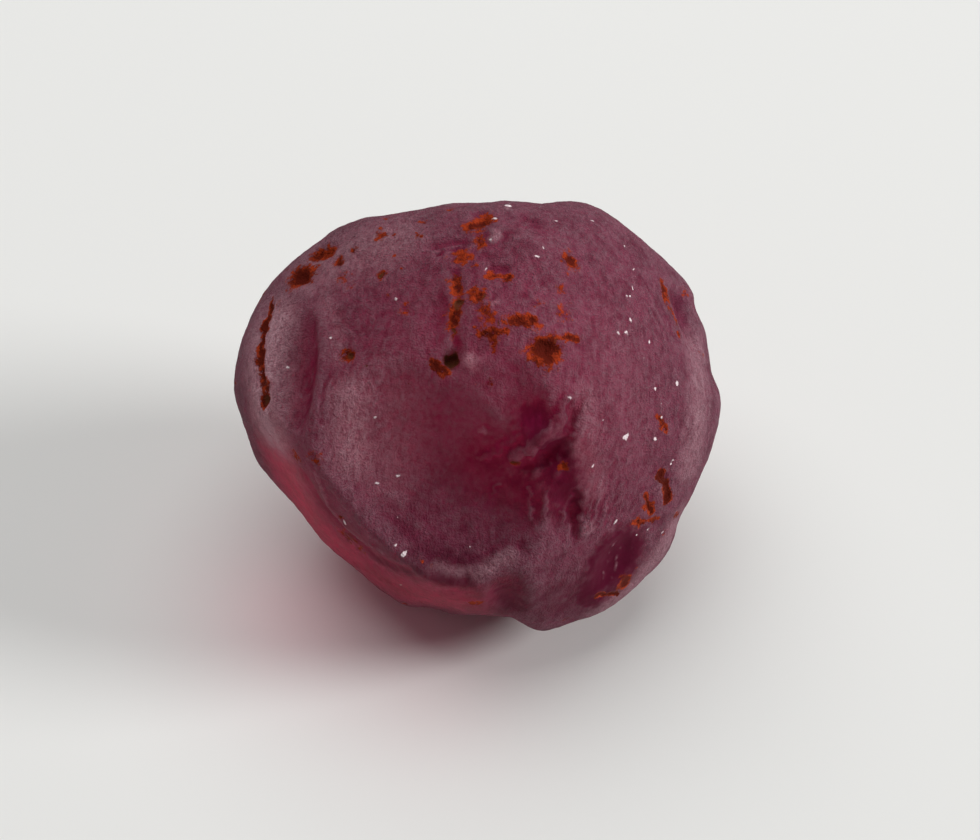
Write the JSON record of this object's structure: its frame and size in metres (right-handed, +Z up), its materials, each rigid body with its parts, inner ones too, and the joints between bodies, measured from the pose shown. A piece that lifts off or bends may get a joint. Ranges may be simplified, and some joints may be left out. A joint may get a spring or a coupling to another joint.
{
  "type": "rough garnet",
  "caption": "Rough, stream-worn garnet crystal fragment with frosted faces, a broad conchoidal hollow and iron-stained pits.",
  "frame": {"origin": "centre of the bounding box, on the underside that the stone rests on", "axes": "+Z up, +X along the stone's width, -Y towards the broad hollowed face, which looks forward and up"},
  "size_m": [0.012, 0.01, 0.0097],
  "materials": {
    "garnet": "satin"
  },
  "bodies": {
    "root": {"garnet": "garnet"}
  },
  "joints": []
}
